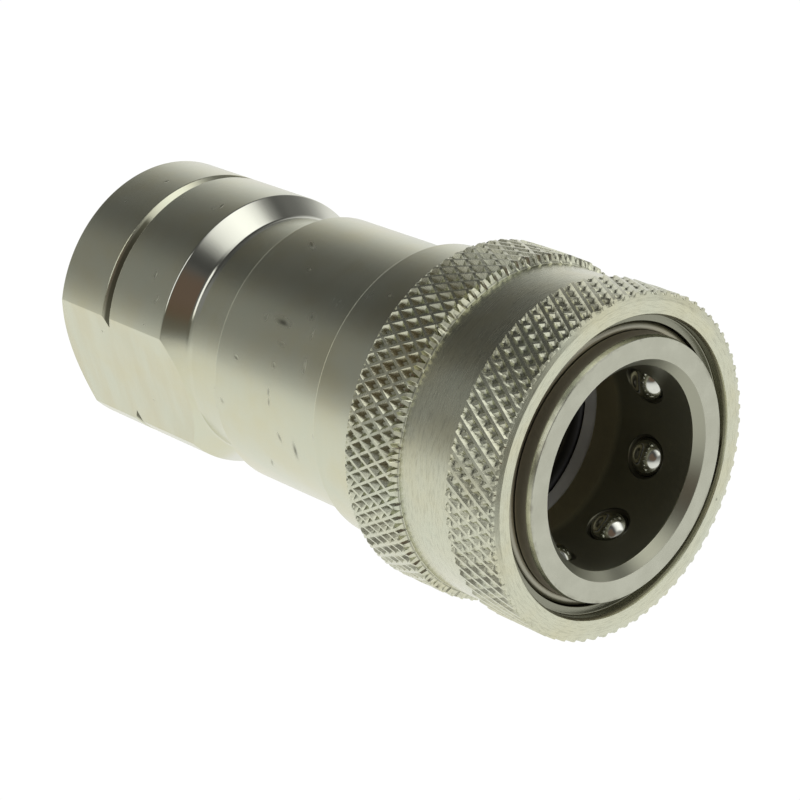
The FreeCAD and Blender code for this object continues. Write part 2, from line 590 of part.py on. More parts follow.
# ------------------------------------------------------------------ write out
doc.recompute()
for obj in doc.Objects:
    if "Invalid" in obj.State or "Error" in obj.State:
        raise RuntimeError("object failed: " + obj.Name + " " + str(obj.State))
for label, obj in nodes.items():
    shape = obj.Shape
    if shape.isNull() or not shape.isValid() or len(shape.Solids) != 1:
        raise RuntimeError("bad shape: %s (%d solids)" % (label, len(shape.Solids)))
for label, obj in nodes.items():
    obj.Shape.exportStep("parts/%s.step" % label)
    b = obj.Shape.BoundBox
    print("%-18s %9.2f mm3  z %.2f..%.2f  r %.2f" % (label, obj.Shape.Volume, b.ZMin, b.ZMax, max(b.XMax, b.YMax)))
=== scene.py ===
import math, random
import bpy, bmesh
import numpy as np
from mathutils import Matrix, Vector


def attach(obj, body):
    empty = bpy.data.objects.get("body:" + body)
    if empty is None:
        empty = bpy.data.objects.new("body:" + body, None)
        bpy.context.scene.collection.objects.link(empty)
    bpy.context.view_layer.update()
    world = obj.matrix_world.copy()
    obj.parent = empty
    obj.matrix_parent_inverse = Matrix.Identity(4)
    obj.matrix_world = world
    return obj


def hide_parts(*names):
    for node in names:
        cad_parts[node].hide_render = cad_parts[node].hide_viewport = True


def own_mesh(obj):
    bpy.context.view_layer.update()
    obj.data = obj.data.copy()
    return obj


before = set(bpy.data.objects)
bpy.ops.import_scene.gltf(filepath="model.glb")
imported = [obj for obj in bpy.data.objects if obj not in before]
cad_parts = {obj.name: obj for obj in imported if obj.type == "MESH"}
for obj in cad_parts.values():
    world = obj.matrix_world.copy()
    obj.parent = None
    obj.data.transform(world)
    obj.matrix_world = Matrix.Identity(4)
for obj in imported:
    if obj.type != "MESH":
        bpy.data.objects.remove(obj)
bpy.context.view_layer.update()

random.seed(7)
MM = 0.001
TAU = 2 * math.pi
REAR = 1.30            # heights are counted from the rear end of the cylinder, this far above the rear face

# --------------------------------------------------------------------------
# camera: the photograph's view of the coupler, in the coupler's own frame
# --------------------------------------------------------------------------
right = Vector((0.6912244247, -0.2405241667, 0.6814373925))
up = Vector((0.5449089106, 0.7928473848, -0.2728869795))
back = Vector((-0.4746399412, 0.5599474526, 0.6790992391))
cam_data = bpy.data.cameras.new("photo_camera")
cam_data.sensor_fit = "HORIZONTAL"
cam_data.sensor_width = 36.0
cam_data.lens = 117.37287
cam_data.clip_start = 0.01
cam_data.clip_end = 50.0
cam = bpy.data.objects.new("photo_camera", cam_data)
bpy.context.scene.collection.objects.link(cam)
m = Matrix.Identity(4)
for i in range(3):
    m[i][0], m[i][1], m[i][2] = right[i], up[i], back[i]
m[0][3], m[1][3], m[2][3] = -0.1213992, 0.1406389, 0.2090649 + REAR * MM
cam.matrix_world = m
bpy.context.scene.camera = cam


# --------------------------------------------------------------------------
# mesh tools (millimetres while building, metres on the object)
# --------------------------------------------------------------------------
def section(corners, closed=True, hold=0.035):
    """Half section from corners (r, z, fillet).  Fillets become short arcs and
    straight runs get holding points near their ends, so shading stays crisp."""
    n = len(corners)
    runs = []
    for i in range(n):
        p = np.array(corners[i][:2], float)
        rad = corners[i][2] if len(corners[i]) > 2 else 0.0
        if not closed and i in (0, n - 1):
            runs.append([p])
            continue
        a = np.array(corners[i - 1][:2], float) - p
        b = np.array(corners[(i + 1) % n][:2], float) - p
        la, lb = np.linalg.norm(a), np.linalg.norm(b)
        a, b = a / la, b / lb
        ang = math.acos(max(-1.0, min(1.0, float(a @ b))))
        if rad <= 0 or ang > math.pi - 0.02:
            runs.append([p])
            continue
        t = min(rad / math.tan(ang / 2), 0.45 * la, 0.45 * lb)
        rad = t * math.tan(ang / 2)
        mid = (a + b) / np.linalg.norm(a + b)
        c = p + mid * (rad / math.sin(ang / 2))
        turn = math.pi - ang
        seg = max(2, int(math.ceil(turn / math.radians(10))))
        v0 = p + a * t - c
        v1 = p + b * t - c
        a0 = math.atan2(v0[1], v0[0])
        a1 = math.atan2(v1[1], v1[0])
        da = (a1 - a0 + math.pi) % TAU - math.pi
        runs.append([c + rad * np.array([math.cos(a0 + da * k / seg), math.sin(a0 + da * k / seg)])
                     for k in range(seg + 1)])
    out = []
    last = n if closed else n - 1
    for i in range(n):
        out += runs[i]
        if i < last:
            p, q = runs[i][-1], runs[(i + 1) % n][0]
            ln = np.linalg.norm(q - p)
            if hold and ln > 5 * hold:
                d = (q - p) / ln
                out += [p + d * hold, q - d * hold]
    return [(float(x[0]), float(x[1])) for x in out]


def insert_rows(pts, z0, z1, step, r, tol=1e-3):
    """Adds points along the straight run of radius r between z0 and z1."""
    out = []
    for k in range(len(pts)):
        a, b = pts[k], pts[(k + 1) % len(pts)]
        out.append(a)
        if abs(a[0] - r) < tol and abs(b[0] - r) < tol and min(a[1], b[1]) > z0 - 0.2 \
                and max(a[1], b[1]) < z1 + 0.2 and abs(a[1] - b[1]) > 2 * step:
            m_ = int(abs(a[1] - b[1]) / step)
            for j in range(1, m_):
                u = j / m_
                out.append((a[0] + (b[0] - a[0]) * u, a[1] + (b[1] - a[1]) * u))
    return out


class Build:
    """Vertices and faces collected in millimetres."""

    def __init__(self):
        self.v, self.f = [], []

    def ring(self, r, z, n, phase=0.0):
        if r < 1e-6:
            self.v.append((0.0, 0.0, z))
            return [len(self.v) - 1]
        base = len(self.v)
        for j in range(n):
            a = phase + TAU * j / n
            self.v.append((r * math.cos(a), r * math.sin(a), z))
        return list(range(base, base + n))

    def bridge(self, a, b):
        if len(a) == 1 and len(b) == 1:
            return
        if len(a) == 1:
            n = len(b)
            self.f += [(a[0], b[(j + 1) % n], b[j]) for j in range(n)]
        elif len(b) == 1:
            n = len(a)
            self.f += [(a[j], a[(j + 1) % n], b[0]) for j in range(n)]
        else:
            n = len(a)
            self.f += [(a[j], a[(j + 1) % n], b[(j + 1) % n], b[j]) for j in range(n)]

    def lathe(self, pts, n, closed=True):
        rings = [self.ring(r, z, n) for r, z in pts]
        for i in range(len(rings) - (0 if closed else 1)):
            self.bridge(rings[i], rings[(i + 1) % len(rings)])
        return rings

    def stitch(self, a, b):
        """Joins two loops around the axis that have different point counts."""
        def ang(i):
            return math.atan2(self.v[i][1], self.v[i][0]) % TAU
        a = sorted(a, key=ang)
        b = sorted(b, key=ang)
        aa = [ang(i) for i in a]
        bb = [ang(i) for i in b]
        i = j = 0
        na, nb = len(a), len(b)
        while i < na or j < nb:
            ta = aa[(i + 1) % na] + (TAU if i + 1 >= na else 0.0)
            tb = bb[(j + 1) % nb] + (TAU if j + 1 >= nb else 0.0)
            if j >= nb or (i < na and ta <= tb):
                self.f.append((a[i % na], a[(i + 1) % na], b[j % nb]))
                i += 1
            else:
                self.f.append((a[i % na], b[(j + 1) % nb], b[j % nb]))
                j += 1

    def mesh(self, name):
        me = bpy.data.meshes.new(name)
        me.from_pydata([(x * MM, y * MM, (z + REAR) * MM) for x, y, z in self.v], [], self.f)
        me.update()
        bm = bmesh.new()
        bm.from_mesh(me)
        bmesh.ops.remove_doubles(bm, verts=bm.verts, dist=2e-8)
        bmesh.ops.dissolve_degenerate(bm, edges=bm.edges, dist=1e-8)
        bmesh.ops.recalc_face_normals(bm, faces=bm.faces)
        bm.to_mesh(me)
        bm.free()
        return me


def put(name, me, sharp=33.0):
    ob = bpy.data.objects.new(name, me)
    bpy.context.scene.collection.objects.link(ob)
    finish_shading(me, sharp)
    return ob


def finish_shading(me, sharp=33.0):
    me.polygons.foreach_set("use_smooth", [True] * len(me.polygons))
    me.set_sharp_from_angle(angle=math.radians(sharp))
    me.update()


def carve(ob, cutter, op="DIFFERENCE"):
    """Exact cut of ob by cutter, with the result kept as plain mesh."""
    mod = ob.modifiers.new("cut", "BOOLEAN")
    mod.operation = op
    mod.solver = "EXACT"
    mod.object = cutter
    bpy.context.view_layer.update()
    dg = bpy.context.evaluated_depsgraph_get()
    me = bpy.data.meshes.new_from_object(ob.evaluated_get(dg))
    ob.modifiers.clear()
    old = ob.data
    ob.data = me
    me.name = old.name + "_cut"
    bpy.data.meshes.remove(old)
    cm = cutter.data
    bpy.data.objects.remove(cutter)
    bpy.data.meshes.remove(cm)


def dent(ob, marks, radius_of):
    """Small nicks pressed into a turned surface.  Each mark is
    (z mm, angle deg, length mm, width mm, depth mm, slant deg)."""
    bm = bmesh.new()
    bm.from_mesh(ob.data)
    dent_shade = bm.verts.layers.float.get("dent_shade") or bm.verts.layers.float.new("dent_shade")
    for cuts, reach in ((3, 1.25), (2, 0.9)):
        faces = set()
        for z, a, ln, wd, dp, sl in marks:
            rr = radius_of(z)
            c = Vector((rr * math.cos(math.radians(a)), rr * math.sin(math.radians(a)), z + REAR)) * MM
            lim = (max(ln, wd) * reach + 0.12) * MM
            for f in bm.faces:
                if len(f.verts) == 4 and (f.calc_center_median() - c).length < lim:
                    faces.add(f)
        edges = list({e for f in faces for e in f.edges})
        if edges:
            bmesh.ops.subdivide_edges(bm, edges=edges, cuts=cuts, use_grid_fill=True)
    for z, a, ln, wd, dp, sl in marks:
        rr = radius_of(z)
        ar = math.radians(a)
        cs, sn = math.cos(math.radians(sl)), math.sin(math.radians(sl))
        for v in bm.verts:
            x, y, vz = v.co.x / MM, v.co.y / MM, v.co.z / MM - REAR
            if abs(vz - z) > 2.2 * max(ln, wd):
                continue
            r0 = math.hypot(x, y)
            if abs(r0 - rr) > 0.25:
                continue
            da = (math.atan2(y, x) - ar + math.pi) % TAU - math.pi
            s, t = da * rr, vz - z
            if abs(s) > 2.2 * max(ln, wd):
                continue
            p = (s * cs + t * sn) / (ln * 0.5)
            q = (-s * sn + t * cs) / (wd * 0.5)
            d2 = p * p + q * q
            # a dished floor with a slight burr thrown up around it
            h = -dp * math.exp(-d2 * 1.2) + 0.07 * dp * math.exp(-(math.sqrt(d2) - 1.45) ** 2 * 6)
            base = radius_of(vz)
            k = (base + h) / r0
            v.co.x *= k
            v.co.y *= k
            # painted shade: darkens the colour in each dent, most at its middle
            v[dent_shade] = min(1.0, v[dent_shade] + dp / 0.05 * math.exp(-d2 * 0.75))
    me = ob.data
    bm.to_mesh(me)
    bm.free()
    finish_shading(me)


def noise1(i, j=0, k=0):
    """Repeatable value in -1..1 for integer cells."""
    h = (i * 374761393 + j * 668265263 + k * 2147483647 + 1013904223) & 0xFFFFFFFF
    h = ((h ^ (h >> 13)) * 1274126177) & 0xFFFFFFFF
    h ^= h >> 16
    return (h & 0xFFFF) / 32767.5 - 1.0


# --------------------------------------------------------------------------
# knurled band: two crossed sets of helical ridges with square pits between
# --------------------------------------------------------------------------
STARTS = 72            # ridges of each hand around the rim
LEAD = 0.415           # ridges passed per millimetre of height


def knurl_band(z0, z1, envelope, crest, deep, high1, high2, flat, flank, salt, open_from=None):
    """Points and faces of the band between heights z0 and z1.  The grid
    follows the ridges, so their tops and the pit floors have true edges.
    flat is half the width of a ridge top, flank the width of its side, in
    pitches; high1 and high2 are the heights of the two sets of ridges.  Above
    height open_from the pits deepen, so the ridges end as separate teeth."""
    steps = [0.0, flat, flat + 0.5 * flank, flat + flank, 0.5, 1 - flat - flank, 1 - flat - 0.5 * flank, 1 - flat]
    k = len(steps)
    n = STARTS * k
    zr = 0.5 * (z0 + z1)

    def line(i):
        return i // k + steps[i % k]

    span = 2 * LEAD * (0.5 * (z1 - z0) + 0.9)
    reach = int(span * k) + k
    keys, faces = {}, []

    def key(i, j):
        t = i // n
        return (i - t * n, j - t * n)

    def add(i, j):
        q = key(i, j)
        if q not in keys:
            keys[q] = len(keys)
        return keys[q]

    for i in range(n):
        for j in range(i - reach, i + reach):
            if abs(line(i) - line(j)) > span + 0.2:
                continue
            s1 = 1 if (i % k) < k // 2 else -1
            s2 = 1 if (j % k) < k // 2 else -1
            a, b, c, d = add(i, j), add(i + 1, j), add(i + 1, j + 1), add(i, j + 1)
            if s1 * s2 > 0:
                faces += [(a, b, c), (a, c, d)]
            else:
                faces += [(a, b, d), (b, c, d)]
    pts = [None] * len(keys)
    for (i, j), t in keys.items():
        p1, p2 = line(i), line(j)
        a = (p1 + p2) * math.pi / STARTS
        pts[t] = (crest * math.cos(a), crest * math.sin(a), zr + (p1 - p2) / (2 * LEAD))
    bm = bmesh.new()
    vs = [bm.verts.new(p) for p in pts]
    for f in faces:
        bm.faces.new([vs[t] for t in f])
    for co, lo, hi in [(z0, True, False), (z1, False, True)] + [(e[1], False, False) for e in envelope[1:-1]]:
        bmesh.ops.bisect_plane(bm, geom=bm.verts[:] + bm.edges[:] + bm.faces[:], dist=0.012,
                               plane_co=(0, 0, co), plane_no=(0, 0, 1), clear_inner=lo, clear_outer=hi)
    bm.verts.index_update()
    verts = []
    for v in bm.verts:
        a = math.atan2(v.co.y, v.co.x)
        z = v.co.z
        if abs(z - z0) < 0.02:
            z = z0
        if abs(z - z1) < 0.02:
            z = z1
        q = STARTS * a / TAU
        p1, p2 = q + LEAD * (z - zr), q - LEAD * (z - zr)
        n1, n2 = round(p1), round(p2)
        # slow change of height around the rim, and small scatter per ridge
        h1 = high1 * (1 + 0.03 * math.sin(3 * a + salt) + 0.05 * noise1(n1 % STARTS, 1, salt))
        h2 = high2 * (1 + 0.03 * math.sin(2 * a + 1.3 * salt) + 0.05 * noise1(n2 % STARTS, 2, salt))
        a1 = min(1.0, max(0.0, (flat + flank - abs(p1 - n1)) / flank))
        a2 = min(1.0, max(0.0, (flat + flank - abs(p2 - n2)) / flank))
        c1, c2 = math.floor(p1) % STARTS, math.floor(p2) % STARTS
        up_ = max(h1 * a1, h2 * a2)
        dd = deep * (1 + 0.10 * noise1(c1, c2, salt))
        top = crest + 0.010 * noise1(n1 % STARTS, n2 % STARTS, salt + 1)
        if open_from is not None:
            dd *= 1.0 + 1.40 * min(1.0, max(0.0, (z - open_from) / 0.6))
        g = dd * (1.0 - up_)
        env = np.interp(z, [e[1] for e in envelope], [e[0] for e in envelope])
        r = min(env, max(top - g, envelope[-1][0]))
        verts.append((r * math.cos(a), r * math.sin(a), z))
    out_faces = [tuple(v.index for v in f.verts) for f in bm.faces]
    lo = [i for i, v in enumerate(verts) if v[2] == z0]
    hi = [i for i, v in enumerate(verts) if v[2] == z1]
    bm.free()
    return verts, out_faces, lo, hi


# --------------------------------------------------------------------------
# internal pipe thread of the port
# --------------------------------------------------------------------------
def thread_band(z0, z1, r_in, r_out, pitch, n, env, fade):
    prof = [(0.0, 1.0), (0.08, 0.97), (0.16, 0.82), (0.30, 0.42), (0.42, 0.10), (0.50, 0.0),
            (0.58, 0.10), (0.70, 0.42), (0.84, 0.82), (0.92, 0.97)]
    k = len(prof)
    turns = (z1 - z0) / pitch
    rows = int((turns + 3) * k)
    bm = bmesh.new()
    grid = {}

    def vert(i, j):
        # row i climbs one pitch while j goes once round
        if j == n:
            return vert(i + k, 0)
        if (i, j) not in grid:
            a = TAU * j / n
            z = z0 - 2 * pitch + (i // k + prof[i % k][0]) * pitch + pitch * j / n
            grid[(i, j)] = bm.verts.new((r_in * math.cos(a), r_in * math.sin(a), z))
        return grid[(i, j)]

    for i in range(rows):
        for j in range(n):
            bm.faces.new([vert(i, j), vert(i, j + 1), vert(i + 1, j + 1), vert(i + 1, j)])
    for co, lo, hi in ((z0, True, False), (z1, False, True)):
        bmesh.ops.bisect_plane(bm, geom=bm.verts[:] + bm.edges[:] + bm.faces[:], dist=0.004,
                               plane_co=(0, 0, co), plane_no=(0, 0, 1), clear_inner=lo, clear_outer=hi)
    bm.verts.index_update()
    xs = [p[0] for p in prof] + [1.0]
    ys = [p[1] for p in prof] + [1.0]
    verts = []
    for v in bm.verts:
        a = math.atan2(v.co.y, v.co.x) % TAU
        z = v.co.z
        if abs(z - z0) < 0.006:
            z = z0
        if abs(z - z1) < 0.006:
            z = z1
        ph = ((z - z0 + 2 * pitch) / pitch - a / TAU) % 1.0
        s = min(1.0, max(0.0, (z1 - 0.25 - z) / fade))
        s = s * s * (3 - 2 * s)
        r = r_in + (r_out - r_in) * float(np.interp(ph, xs, ys)) * s
        e = float(np.interp(z, [q[1] for q in env], [q[0] for q in env]))
        r = max(r, e)
        verts.append((r * math.cos(a), r * math.sin(a), z))
    faces = [tuple(v.index for v in f.verts) for f in bm.faces]
    lo = [i for i, v in enumerate(verts) if v[2] == z0]
    hi = [i for i, v in enumerate(verts) if v[2] == z1]
    bm.free()
    return verts, faces, lo, hi


def add_band(b, band):
    verts, faces, lo, hi = band
    base = len(b.v)
    b.v += verts
    b.f += [tuple(i + base for i in f) for f in faces]
    return [i + base for i in lo], [i + base for i in hi]


# --------------------------------------------------------------------------
# rear adapter
# --------------------------------------------------------------------------
N = 192
ad = Build()
ad_pts = section([
    (8.337, -1.0365), (8.60, -1.30, 0.06), (12.52, -1.30, 0.05), (14.10, 0.12, 0.06), (14.10, 6.95, 0.30), (13.55, 7.60, 0.10),
    (14.10, 8.15, 0.05), (14.10, 16.38, 0.35), (12.30, 18.65, 0.90), (12.30, 24.50), (10.95, 24.50), (10.95, 25.20),
    (9.50, 25.20), (9.50, 27.60), (10.95, 27.60), (10.95, 30.50), (10.45, 31.00),
    (8.00, 31.00, 0.1), (8.00, 22.00, 0.3), (5.50, 20.00, 0.3), (5.50, 15.20, 0.3), (7.475, 14.00)], closed=False)
ad_pts = insert_rows(ad_pts, 8.15, 16.38, 0.42, 14.10)
ad_pts = insert_rows(ad_pts, 0.12, 6.95, 0.42, 14.10)
ad_pts = insert_rows(ad_pts, 18.65, 24.50, 0.42, 12.30)
ad_rings = ad.lathe(ad_pts, N, closed=False)
lo, hi = add_band(ad, thread_band(-1.0365, 13.20, 7.475, 8.331, 1.337, 96,
                                  [(8.60, -1.30), (7.475, -0.175), (7.475, 20.0)], 2.0))
end = ad.ring(7.475, 13.20, N)
ad.stitch(lo, ad_rings[0])
ad.stitch(hi, end)
ad.bridge(ad_rings[-1], end)
adapter = put("adapter_turned", ad.mesh("adapter_turned"))

cut = Build()
for side in (1, -1):
    base = len(cut.v)
    x0, x1 = 12.556, 19.0
    ct, st = math.cos(math.radians(-2.05)), math.sin(math.radians(-2.05))
    for x in (x0, x1):
        for y in (-20.0, 20.0):
            for z in (-3.0, 18.90):
                cut.v.append((side * x * ct - y * st, side * x * st + y * ct, z))
    for q in ((0, 1, 3, 2), (4, 6, 7, 5), (0, 4, 5, 1), (2, 3, 7, 6), (0, 2, 6, 4), (1, 5, 7, 3)):
        cut.f.append(tuple(base + i for i in q))
cutter = bpy.data.objects.new("flat_mill", cut.mesh("flat_mill"))
bpy.context.scene.collection.objects.link(cutter)
carve(adapter, cutter)
finish_shading(adapter.data, 18.0)


def photo_angle(t):
    return t - 34.5


dent(adapter, [(13.20, photo_angle(161.2), 0.55, 0.26, 0.030, 5), (14.66, photo_angle(170.5), 0.60, 0.16, 0.025, -30),
               (14.25, photo_angle(121.2), 0.60, 0.22, 0.025, 20), (4.4, photo_angle(118.0), 0.50, 0.20, 0.025, -20),
               (10.0, photo_angle(78.0), 0.40, 0.20, 0.030, 15), (12.2, photo_angle(310.0), 0.45, 0.22, 0.032, 35),
               (21.6, photo_angle(20.0), 0.45, 0.22, 0.032, -25)],
     lambda z: 14.10 if z < 16.38 else 12.30)
finish_shading(adapter.data, 18.0)

# --------------------------------------------------------------------------
# front body with its ball holes
# --------------------------------------------------------------------------
bo = Build()
bo_pts = section([
    (13.54, 24.50), (13.71, 24.67, 0.14), (13.71, 40.10, 0.10), (14.55, 40.10, 0.05), (14.72, 40.27, 0.16),
    (14.72, 47.50, 0.10), (12.60, 47.50, 0.15), (12.60, 63.00, 0.05), (12.10, 63.00, 0.10),
    (12.10, 64.41, 0.10), (12.60, 64.41, 0.05), (12.60, 65.74, 0.60), (12.44, 66.30, 0.06),
    (10.44, 66.30, 0.07), (9.65, 65.45, 0.10), (9.65, 56.70, 0.3), (9.575, 55.95, 0.2),
    (9.575, 53.40, 0.08), (11.15, 53.40), (11.15, 49.60), (9.575, 49.60, 0.08), (9.575, 48.50, 0.2),
    (6.60, 48.50, 0.2), (6.60, 46.60, 0.1), (9.60, 43.60, 0.1), (9.60, 33.00), (11.00, 33.00),
    (11.00, 24.90), (11.40, 24.50)])
bo_pts = insert_rows(bo_pts, 24.67, 40.10, 0.42, 13.71)
bo.lathe(bo_pts, N)
body = put("body_turned", bo.mesh("body_turned"))
cut = Build()
for kk in range(8):
    ang = math.radians(7.0 + 45 * kk)
    ex = Vector((math.cos(ang), math.sin(ang), 0))
    ey = Vector((-math.sin(ang), math.cos(ang), 0))
    prof = [(0.0, 9.0), (2.15, 9.0), (2.15, 9.66), (1.90, 9.85), (1.90, 9.90), (2.08, 10.25), (2.08, 13.4), (0.0, 13.4)]
    rings = []
    for r_, h_ in prof:
        if r_ == 0.0:
            p = ex * h_
            cut.v.append((p.x, p.y, 60.25))
            rings.append([len(cut.v) - 1])
        else:
            base = len(cut.v)
            for j in range(40):
                t = TAU * j / 40
                p = ex * h_ + ey * (r_ * math.cos(t)) + Vector((0, 0, 60.25 + r_ * math.sin(t)))
                cut.v.append((p.x, p.y, p.z))
            rings.append(list(range(base, base + 40)))
    for i in range(len(rings) - 1):
        cut.bridge(rings[i], rings[i + 1])
cutter = bpy.data.objects.new("ball_drill", cut.mesh("ball_drill"))
bpy.context.scene.collection.objects.link(cutter)
carve(body, cutter)
finish_shading(body.data, 33.0)
dent(body, [(32.14, photo_angle(160.2), 1.35, 0.50, 0.055, 84), (28.46, photo_angle(123.7), 0.95, 0.30, 0.040, 62),
            (35.29, photo_angle(154.4), 0.42, 0.34, 0.035, 45), (29.77, photo_angle(160.9), 0.45, 0.26, 0.020, 0),
            (31.01, photo_angle(135.5), 0.40, 0.18, 0.030, 80), (36.41, photo_angle(160.5), 0.90, 0.12, 0.018, 10),
            (33.10, photo_angle(168.5), 0.80, 0.30, 0.018, 80), (32.86, photo_angle(177.5), 0.36, 0.22, 0.028, 20),
            (36.88, photo_angle(173.1), 0.95, 0.20, 0.035, 8), (32.61, photo_angle(188.9), 0.50, 0.20, 0.030, 5),
            (32.73, photo_angle(192.9), 0.55, 0.18, 0.030, 5), (33.89, photo_angle(207.1), 0.75, 0.26, 0.035, 20),
            (35.93, photo_angle(210.5), 1.25, 0.36, 0.045, 0), (39.60, photo_angle(203.7), 0.36, 0.24, 0.028, 0),
            (39.10, photo_angle(199.9), 0.40, 0.18, 0.022, 0), (30.92, photo_angle(224.9), 0.80, 0.22, 0.030, -25),
            (27.49, photo_angle(180.4), 0.50, 0.24, 0.025, 70), (25.60, photo_angle(201.2), 0.50, 0.30, 0.020, 40),
            (30.0, photo_angle(40.0), 0.60, 0.24, 0.040, 50), (36.4, photo_angle(330.0), 0.52, 0.22, 0.038, 110),
            (27.2, photo_angle(285.0), 0.50, 0.24, 0.036, 30), (33.0, photo_angle(255.0), 0.40, 0.20, 0.032, 75)],
     lambda z: 13.71)
finish_shading(body.data, 33.0)

# --------------------------------------------------------------------------
# locking sleeve
# --------------------------------------------------------------------------
sl = Build()
mid_pts = [(16.00, 53.35)] + [(16.00, 53.40 + 6.0 * i / 14) for i in range(15)] + [(16.00, 59.45)]
rest_pts = section([
    (16.10, 65.45), (15.60, 65.57, 0.05), (14.40, 65.57, 0.05), (14.20, 65.20, 0.05), (14.20, 64.40, 0.12), (13.45, 64.40, 0.05),
    (13.45, 63.50, 0.05), (13.20, 63.15), (13.20, 61.55), (12.80, 60.95), (12.80, 58.40), (14.90, 58.40, 0.1),
    (14.90, 46.85), (15.20, 46.55), (16.30, 46.55)], closed=False)
mid_rings = sl.lathe(mid_pts, N, closed=False)
rest_rings = sl.lathe(rest_pts, N, closed=False)
rear = knurl_band(46.55, 53.35, [(16.30, 46.55), (16.80, 47.02), (16.80, 52.88), (16.00, 53.35)],
                  16.80, 0.50, 1.0, 0.92, 0.10, 0.27, 3, 52.40)
front = knurl_band(59.45, 65.45, [(16.00, 59.45), (16.50, 59.72), (16.50, 65.33), (16.10, 65.45)],
                   16.50, 0.42, 0.56, 1.0, 0.12, 0.26, 8)
lo, hi = add_band(sl, rear)
sl.stitch(lo, rest_rings[-1])
sl.stitch(hi, mid_rings[0])
lo, hi = add_band(sl, front)
sl.stitch(lo, mid_rings[-1])
sl.stitch(hi, rest_rings[0])
sleeve = put("sleeve_knurled", sl.mesh("sleeve_knurled"), 30.0)

# --------------------------------------------------------------------------
# retaining ring: round wire, open ended
# --------------------------------------------------------------------------
rr = Build()
A0, A1 = math.radians(25.5 - 51.0), math.radians(25.5 - 51.0 + 342.0)
steps, seg = 240, 20
rings = []
for i in range(-4, steps + 5):
    u = min(max(i, 0), steps) / steps
    a = A0 + (A1 - A0) * u
    over = 0 if 0 <= i <= steps else (-i if i < 0 else i - steps)
    w = 0.65 * (1.0 if over == 0 else (0.985, 0.93, 0.82, 0.60)[over - 1])
    a += (0.0 if over == 0 else (0.004, 0.008, 0.011, 0.013)[over - 1]) * (-1 if i < 0 else 1)
    base = len(rr.v)
    for j in range(seg):
        t = TAU * j / seg
        r_ = 12.78 + w * math.cos(t)
        rr.v.append((r_ * math.cos(a), r_ * math.sin(a), 63.706 + w * math.sin(t)))
    rings.append(list(range(base, base + seg)))
for i in range(len(rings) - 1):
    rr.bridge(rings[i], rings[i + 1])
rr.f.append(tuple(rings[0]))
rr.f.append(tuple(reversed(rings[-1])))
ring = put("snap_ring_wire", rr.mesh("snap_ring_wire"), 40.0)

# --------------------------------------------------------------------------
# valve: poppet, its seal, the guide
# --------------------------------------------------------------------------
po = Build()
po.lathe(section([
    (0.0, 50.60), (2.70, 50.60, 0.25), (3.40, 49.90, 0.25), (3.40, 47.60, 0.5), (6.30, 46.69, 0.1), (6.95, 46.04, 0.03),
    (6.229, 45.319), (7.129, 44.419), (7.85, 45.14, 0.03), (8.20, 44.79, 0.08), (8.20, 43.00, 0.12), (4.40, 43.00, 0.1),
    (4.40, 41.80, 0.15), (2.50, 41.80, 0.15), (2.50, 29.60, 0.05), (2.00, 29.10, 0.05), (0.0, 29.10)], closed=False),
    128, closed=False)
poppet = put("poppet_turned", po.mesh("poppet_turned"))


def torus(name, R, w, z, n=160, seg=28, flash=0.0):
    t = Build()
    rings = []
    for i in range(n):
        a = TAU * i / n
        base = len(t.v)
        for j in range(seg):
            q = TAU * j / seg
            ww = w + (flash if j in (0, seg // 2) else 0.0)
            r_ = R + ww * math.cos(q)
            t.v.append((r_ * math.cos(a), r_ * math.sin(a), z + w * math.sin(q)))
        rings.append(list(range(base, base + seg)))
    for i in range(n):
        t.bridge(rings[i], rings[(i + 1) % n])
    return put(name, t.mesh(name), 60.0)


seal_a = torus("socket_seal_ring", 10.24, 0.89, 50.72)
seal_b = torus("poppet_seal_ring", 7.082, 0.54, 45.272, 120, 20)
seal_c = torus("joint_seal_ring", 10.25, 0.73, 26.40, 140, 20)

bu = Build()
bu.lathe(section([(9.74, 51.75, 0.10), (11.08, 51.75, 0.10), (11.08, 53.30, 0.10), (9.74, 53.30, 0.10)]), 160)
backup = put("backup_ring_turned", bu.mesh("backup_ring_turned"))

# --------------------------------------------------------------------------
# locking balls
# --------------------------------------------------------------------------
balls = []
for kk in range(8):
    ang = math.radians(7.0 + 45 * kk)
    bm = bmesh.new()
    bmesh.ops.create_icosphere(bm, subdivisions=5, radius=1.9845 * MM)
    spin = Matrix.Rotation(0.7 * kk, 4, "X") @ Matrix.Rotation(1.1 * kk, 4, "Z")
    bmesh.ops.transform(bm, matrix=Matrix.Translation((10.6 * MM * math.cos(ang), 10.6 * MM * math.sin(ang), (60.25 + REAR) * MM)) @ spin,
                        verts=bm.verts)
    me = bpy.data.meshes.new("ball_polished_%d" % (kk + 1))
    bm.to_mesh(me)
    bm.free()
    balls.append(put(me.name, me, 60.0))


